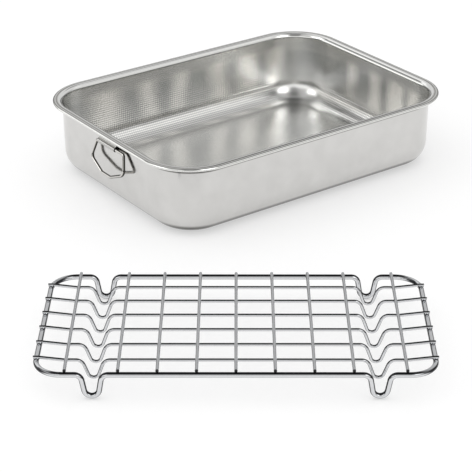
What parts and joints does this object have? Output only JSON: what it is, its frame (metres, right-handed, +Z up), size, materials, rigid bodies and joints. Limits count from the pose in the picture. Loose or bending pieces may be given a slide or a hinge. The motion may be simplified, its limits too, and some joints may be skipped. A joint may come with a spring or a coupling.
{
  "type": "baking_dish_with_rack",
  "caption": "Pressed steel baking dish with rounded corners, curled rim and a hinged wire bail in a folded strap on each end wall, with a loose welded wire rack on bent wire feet.",
  "frame": {"origin": "centre of the dish's flat base, on the plane that the dish and the rack's feet stand on", "axes": "+X along the dish towards its right handle, +Y towards the long wall away from the rack, +Z up"},
  "size_m": [0.5739, 0.5775, 0.0755],
  "materials": {
    "satin_steel": "satin, fine vertical grain",
    "bright_steel": "bright drawn wire",
    "chrome_wire": "polished"
  },
  "bodies": {
    "dish": {"dish_shell": "satin_steel", "left_handle_strap": "satin_steel", "right_handle_strap": "satin_steel"},
    "left_bail": {"left_handle_bail": "bright_steel"},
    "right_bail": {"right_handle_bail": "bright_steel"},
    "rack": {"rack_frame": "chrome_wire", "rack_long_wire_1": "chrome_wire", "rack_long_wire_2": "chrome_wire", "rack_long_wire_3": "chrome_wire", "rack_long_wire_4": "chrome_wire", "rack_long_wire_5": "chrome_wire", "rack_long_wire_6": "chrome_wire", "rack_cross_bar_1": "chrome_wire", "rack_cross_bar_2": "chrome_wire", "rack_cross_bar_3": "chrome_wire", "rack_cross_bar_4": "chrome_wire", "rack_cross_bar_5": "chrome_wire", "rack_cross_bar_6": "chrome_wire", "rack_cross_bar_7": "chrome_wire", "rack_cross_bar_8": "chrome_wire", "rack_cross_bar_9": "chrome_wire"}
  },
  "joints": [
    {"name": "left_handle_swing", "type": "hinge", "parent": "dish", "child": "left_bail", "pos_m": [-0.16768, 0, 0.06197], "axis": [0, 1, 0], "range_deg": [-13, 125]},
    {"name": "right_handle_swing", "type": "hinge", "parent": "dish", "child": "right_bail", "pos_m": [0.16768, 0, 0.06197], "axis": [0, -1, 0], "range_deg": [-13, 125]},
    {"name": "rack_lift", "type": "slide", "parent": "dish", "child": "rack", "axis": [0, 0, 1], "range_m": [0, 0.1]}
  ]
}
